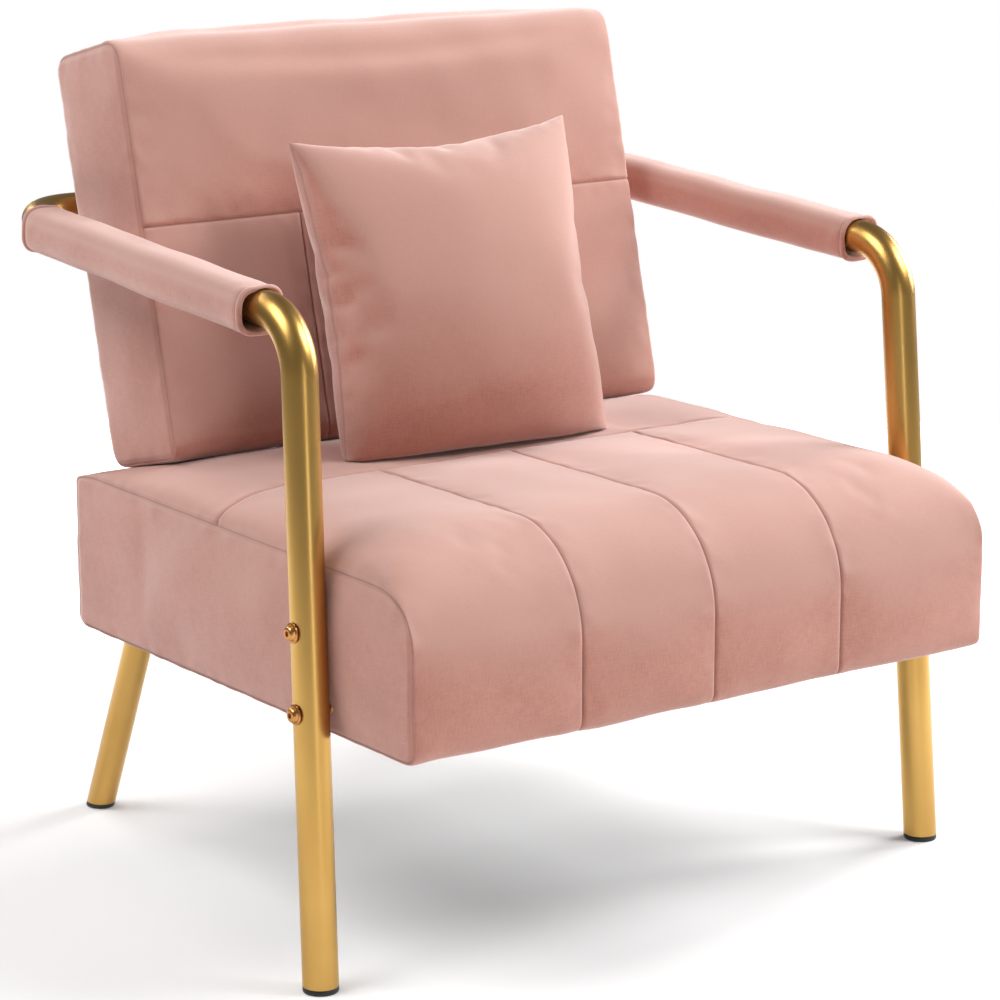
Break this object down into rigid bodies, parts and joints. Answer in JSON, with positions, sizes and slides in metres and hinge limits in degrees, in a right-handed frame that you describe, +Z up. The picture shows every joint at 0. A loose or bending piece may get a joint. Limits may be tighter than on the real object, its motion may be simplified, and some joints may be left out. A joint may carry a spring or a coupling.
{
  "type": "upholstered armchair",
  "caption": "Low upholstered armchair with a thick channelled seat, a reclined back, bent tube arms that are also the front legs, and a loose pillow.",
  "frame": {"origin": "centre of the bounding box's footprint, on the floor under the feet", "axes": "+Z up, the front of the seat faces -Y, +X is the right-hand side as seen from the front"},
  "size_m": [0.7348, 0.6821, 0.7809],
  "materials": {
    "velvet": "short-pile velvet with a soft sheen",
    "gold_tube": "satin gold-coloured plating on steel tube",
    "bolt_metal": "satin, coppery",
    "black_plastic": "matt moulded",
    "frame_wood": "sawn and planed, unfinished",
    "spring_steel": "dark drawn steel",
    "lining": "non-woven lining cloth"
  },
  "bodies": {
    "chair": {"arm_frame_left": "gold_tube", "arm_frame_right": "gold_tube", "arm_sleeve_left": "velvet", "arm_sleeve_right": "velvet", "back_post_left": "frame_wood", "back_post_right": "frame_wood", "back_rail_bottom": "frame_wood", "back_rail_middle": "frame_wood", "back_rail_top": "frame_wood", "back_strap_left": "spring_steel", "back_strap_right": "spring_steel", "back_upholstery": "velvet", "corner_block_front_left": "frame_wood", "corner_block_front_right": "frame_wood", "corner_block_rear_left": "frame_wood", "corner_block_rear_right": "frame_wood", "dust_cover": "lining", "front_foot_cap_left": "black_plastic", "front_foot_cap_right": "black_plastic", "leg_bolt_left_1": "bolt_metal", "leg_bolt_left_2": "bolt_metal", "leg_bolt_right_1": "bolt_metal", "leg_bolt_right_2": "bolt_metal", "leg_pad_left": "black_plastic", "leg_pad_right": "black_plastic", "plate_bolt_left_1": "bolt_metal", "plate_bolt_left_2": "bolt_metal", "plate_bolt_left_3": "bolt_metal", "plate_bolt_left_4": "bolt_metal", "plate_bolt_right_1": "bolt_metal", "plate_bolt_right_2": "bolt_metal", "plate_bolt_right_3": "bolt_metal", "plate_bolt_right_4": "bolt_metal", "rear_foot_cap_left": "black_plastic", "rear_foot_cap_right": "black_plastic", "rear_leg_left": "gold_tube", "rear_leg_right": "gold_tube", "return_bolt_left_1": "bolt_metal", "return_bolt_left_2": "bolt_metal", "return_bolt_right_1": "bolt_metal", "return_bolt_right_2": "bolt_metal", "return_plug_left": "black_plastic", "return_plug_right": "black_plastic", "return_saddle_left": "black_plastic", "return_saddle_right": "black_plastic", "seat_rail_front": "frame_wood", "seat_rail_left": "frame_wood", "seat_rail_rear": "frame_wood", "seat_rail_right": "frame_wood", "seat_spring_1": "spring_steel", "seat_spring_2": "spring_steel", "seat_spring_3": "spring_steel", "seat_spring_4": "spring_steel", "seat_upholstery": "velvet", "strap_bolt_left_high": "bolt_metal", "strap_bolt_left_low": "bolt_metal", "strap_bolt_right_high": "bolt_metal", "strap_bolt_right_low": "bolt_metal"},
    "pillow": {"throw_pillow": "velvet"}
  },
  "joints": [
    {"name": "pillow_lift", "type": "slide", "parent": "chair", "child": "pillow", "axis": [0, 0, 1], "range_m": [0, 0.45]}
  ]
}
